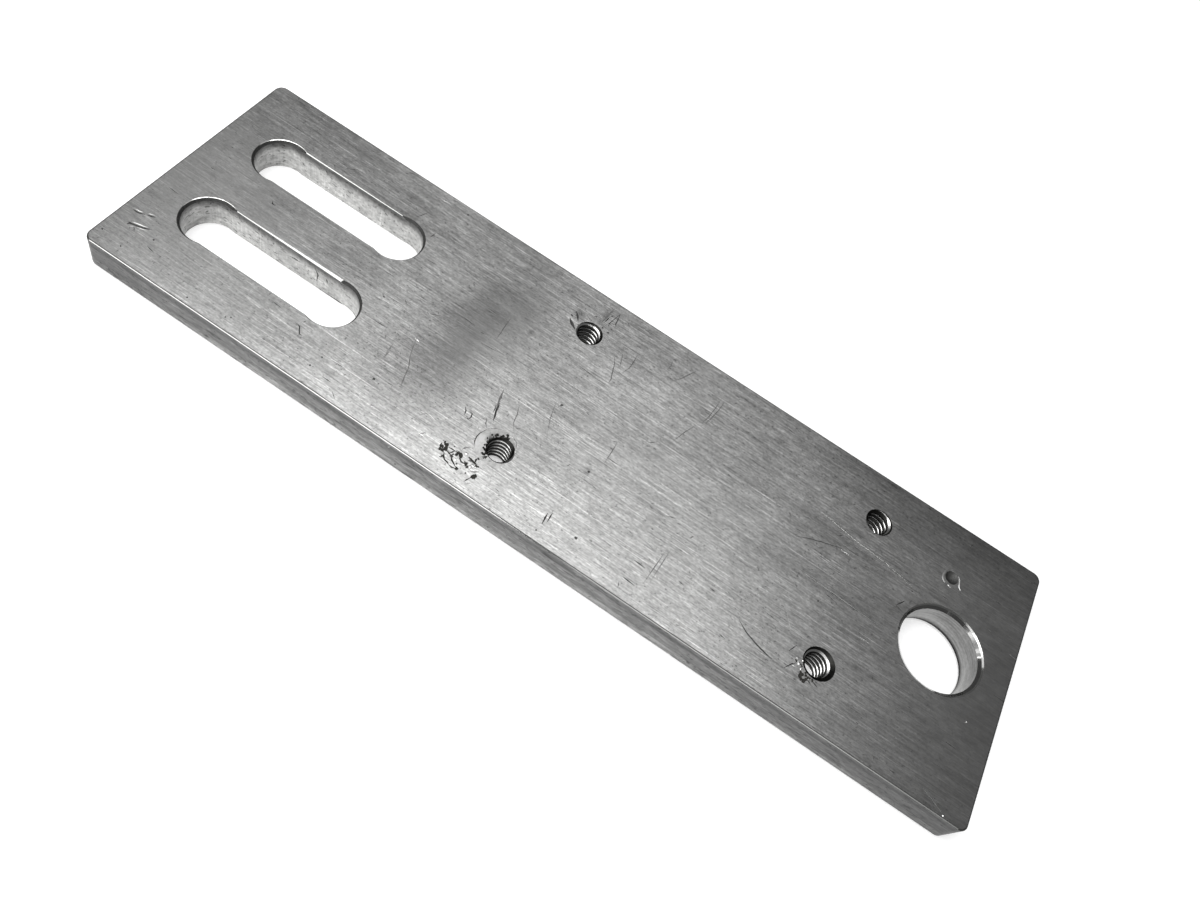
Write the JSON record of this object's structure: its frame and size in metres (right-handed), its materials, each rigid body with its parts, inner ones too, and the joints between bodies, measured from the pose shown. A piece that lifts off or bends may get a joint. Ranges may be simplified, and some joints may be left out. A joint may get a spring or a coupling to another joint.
{
  "type": "switch mounting plate",
  "caption": "Flat aluminium bar with adjusting slots at one end, tapped holes for a limit switch and a chamfered bore at the other end.",
  "frame": {"origin": "middle of the underside", "axes": "+X along the length towards the bored end, +Y across the width, +Z out of the top face"},
  "size_m": [0.1636, 0.0492, 0.0063],
  "materials": {
    "brushed_aluminium": "brushed along the length, scuffed"
  },
  "bodies": {
    "root": {"mounting_plate": "brushed_aluminium"}
  },
  "joints": []
}
